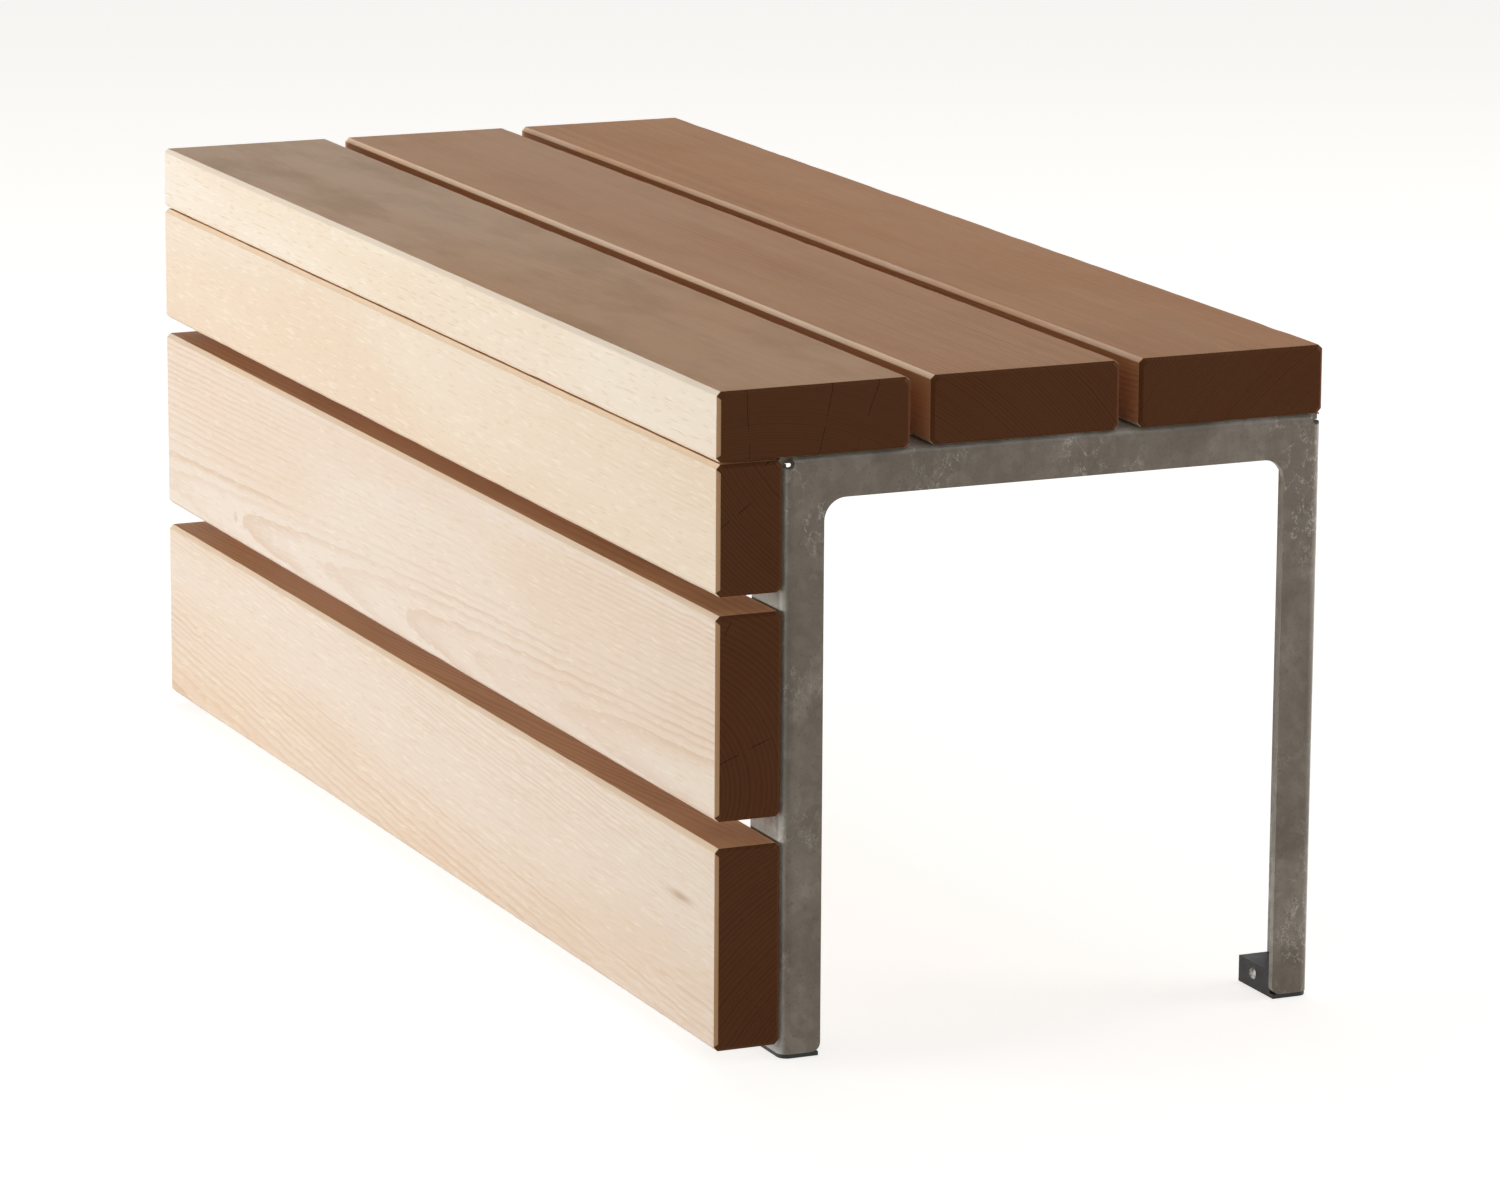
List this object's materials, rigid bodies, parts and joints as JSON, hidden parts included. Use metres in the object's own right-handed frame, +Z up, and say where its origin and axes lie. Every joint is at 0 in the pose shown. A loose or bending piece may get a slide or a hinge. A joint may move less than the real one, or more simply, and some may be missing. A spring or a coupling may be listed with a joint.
{
  "type": "outdoor bench",
  "caption": "Backless plank bench on folded plate end frames, with horizontal boards closing one long side; the ends and the back are open under the seat.",
  "frame": {"origin": "middle of the bench's outline, on the floor", "axes": "+X along the bench, +Y from the boarded front to the open back, +Z up"},
  "size_m": [1.072, 0.433, 0.442],
  "materials": {
    "planed_wood": "planed pale softwood, untreated, with eased edges",
    "galvanised_plate": "hot-dip galvanised, mottled and matt",
    "black_plastic": "moulded, matt",
    "stainless_screws": "bright stainless, dome heads"
  },
  "bodies": {
    "root": {"seat_plank_front": "planed_wood", "seat_plank_middle": "planed_wood", "seat_plank_back": "planed_wood", "side_board_top": "planed_wood", "side_board_middle": "planed_wood", "side_board_bottom": "planed_wood", "end_frame_left": "galvanised_plate", "end_frame_right": "galvanised_plate", "foot_front_left": "black_plastic", "foot_front_right": "black_plastic", "foot_back_left": "black_plastic", "foot_back_right": "black_plastic", "seat_screws_left": "stainless_screws", "seat_screws_right": "stainless_screws", "side_screws_left": "stainless_screws", "side_screws_right": "stainless_screws", "foot_screws": "stainless_screws"}
  },
  "joints": []
}
